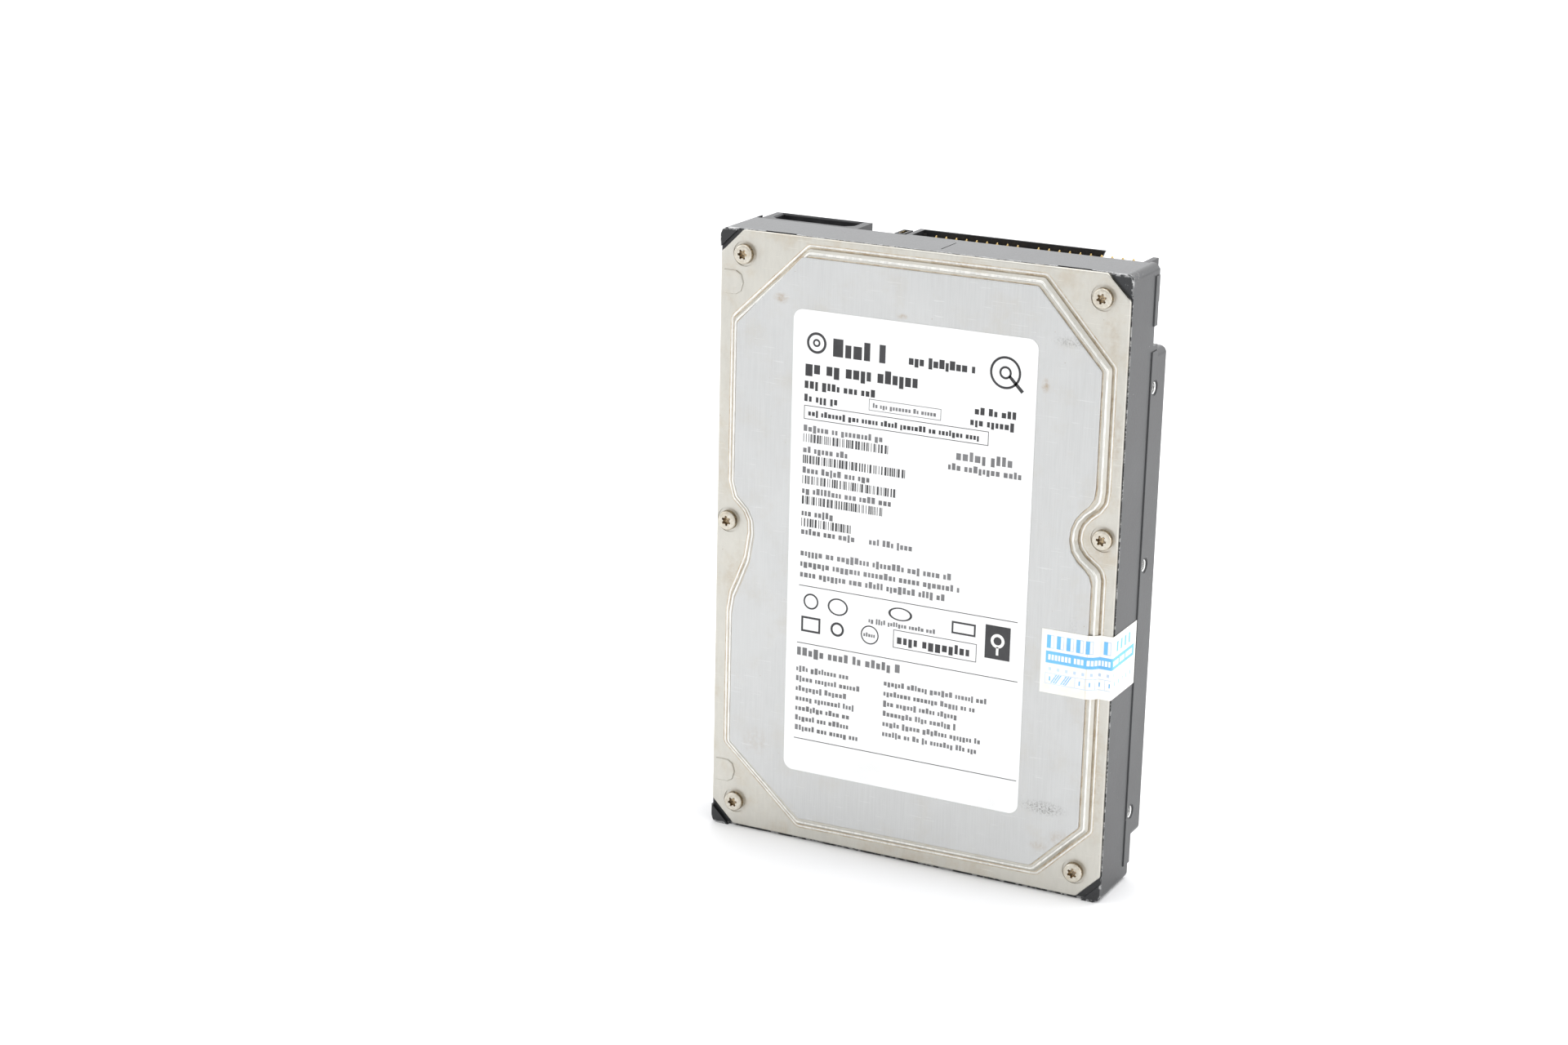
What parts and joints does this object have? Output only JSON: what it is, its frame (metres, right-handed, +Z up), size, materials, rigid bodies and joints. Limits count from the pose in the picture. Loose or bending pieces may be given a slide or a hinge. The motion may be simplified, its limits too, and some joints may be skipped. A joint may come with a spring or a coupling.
{
  "type": "hard disk drive",
  "caption": "Desktop hard disk drive with stamped steel cover, black cast base, circuit board underneath, and parallel data and power connectors on one short end.",
  "frame": {"origin": "bottom centre of the box around the drive, which stands on the short end opposite the connectors", "axes": "+Z up along the drive's length to the connector end, -Y out of the label face (the cover), +Y out of the circuit board side, +X to the right when the label face is seen upright"},
  "size_m": [0.1016, 0.0254, 0.147],
  "materials": {
    "casting_paint": "semi-gloss black coating over cast aluminium, bare at the chipped edges",
    "cover_nickel": "nickel-plated stamped steel, satin",
    "plate_steel": "rolled stainless sheet, matt",
    "label_stock": "white polyester label, matt",
    "seal_foam": "soft black seal",
    "sticker_film": "thin paper-like film, matt",
    "screw_nickel": "nickel-plated steel",
    "screw_dark": "dark oxide steel",
    "board_laminate": "green solder mask over glass-epoxy laminate",
    "chip_epoxy": "moulded epoxy",
    "crystal_can": "drawn steel can",
    "ferrite": "ferrite drum",
    "passive_ceramic": "ceramic chip parts",
    "connector_black": "glass-filled black plastic",
    "gold_plating": "gold plating",
    "tin_plating": "tin-plated brass",
    "shunt_plastic": "black moulded plastic",
    "motor_black": "black coated aluminium",
    "cap_black": "black cap",
    "bearing_bronze": "sintered bronze",
    "ground_steel": "ground steel",
    "hub_aluminium": "turned aluminium",
    "magnet_plating": "nickel-plated magnet",
    "core_steel": "laminated steel",
    "copper_wire": "enamelled copper wire",
    "platter_mirror": "polished disc",
    "clamp_steel": "stamped steel",
    "arm_aluminium": "machined aluminium",
    "spring_steel": "thin spring steel",
    "slider_ceramic": "dark ceramic",
    "flex_film": "amber polyimide film",
    "yoke_plating": "nickel-plated steel",
    "stop_rubber": "elastomer bumper",
    "latch_plastic": "moulded plastic",
    "filter_cloth": "non-woven cloth"
  },
  "bodies": {
    "chassis": {"base_casting": "casting_paint", "top_cover": "cover_nickel", "damping_plate": "plate_steel", "product_label": "label_stock", "cover_gasket": "seal_foam", "warranty_sticker": "sticker_film", "cover_screws": "screw_nickel", "circuit_board": "board_laminate", "board_screws": "screw_nickel", "board_foam": "seal_foam", "controller_chip": "chip_epoxy", "motor_driver_chip": "chip_epoxy", "buffer_memory_chip": "chip_epoxy", "firmware_chip": "chip_epoxy", "clock_crystal": "crystal_can", "power_inductor": "ferrite", "board_passives": "passive_ceramic", "data_connector_shroud": "connector_black", "data_connector_pins": "gold_plating", "power_connector_shroud": "connector_black", "power_connector_pins": "tin_plating", "jumper_header": "connector_black", "jumper_pins": "gold_plating", "motor_bracket": "motor_black", "bracket_screws": "screw_dark", "bearing_cap": "cap_black", "bearing_sleeve": "bearing_bronze", "stator_core": "core_steel", "stator_coils": "copper_wire", "pivot_post": "ground_steel", "flex_circuit": "flex_film", "head_connector": "connector_black", "lower_yoke": "yoke_plating", "upper_yoke": "yoke_plating", "yoke_posts": "yoke_plating", "yoke_screws": "screw_nickel", "voice_magnets": "magnet_plating", "crash_stops": "stop_rubber", "latch_pin": "ground_steel", "recirculation_filter": "filter_cloth", "breather_filter": "filter_cloth", "desiccant_pack": "filter_cloth", "motor_flex": "flex_film"},
    "spindle": {"spindle_shaft": "ground_steel", "rotor_hub": "hub_aluminium", "rotor_magnet": "magnet_plating", "platter_lower": "platter_mirror", "platter_spacer": "hub_aluminium", "platter_upper": "platter_mirror", "platter_clamp": "clamp_steel", "clamp_screws": "screw_nickel"},
    "actuator": {"pivot_bearing": "ground_steel", "actuator_arm": "arm_aluminium", "voice_coil": "copper_wire", "suspensions": "spring_steel", "head_sliders": "slider_ceramic", "preamp_chip": "chip_epoxy"},
    "latch": {"latch_lever": "latch_plastic"},
    "jumper": {"jumper_shunt": "shunt_plastic", "shunt_contact": "gold_plating"}
  },
  "joints": [
    {"name": "spindle_spin", "type": "hinge", "parent": "chassis", "child": "spindle", "pos_m": [0, 0, 0.0503], "axis": [0, 1, 0], "continuous": true},
    {"name": "actuator_swing", "type": "hinge", "parent": "chassis", "child": "actuator", "pos_m": [0.027, 0, 0.0995], "axis": [0, -1, 0], "range_deg": [0, 31], "deforming": ["flex_circuit"]},
    {"name": "latch_swing", "type": "hinge", "parent": "chassis", "child": "latch", "pos_m": [0.00813, 0, 0.12969], "axis": [0, 1, 0], "range_deg": [0, 12], "stiffness_Nm_per_rad": 0.0005},
    {"name": "jumper_pull", "type": "slide", "parent": "chassis", "child": "jumper", "axis": [0, 0, 1], "range_m": [0, 0.01]}
  ]
}
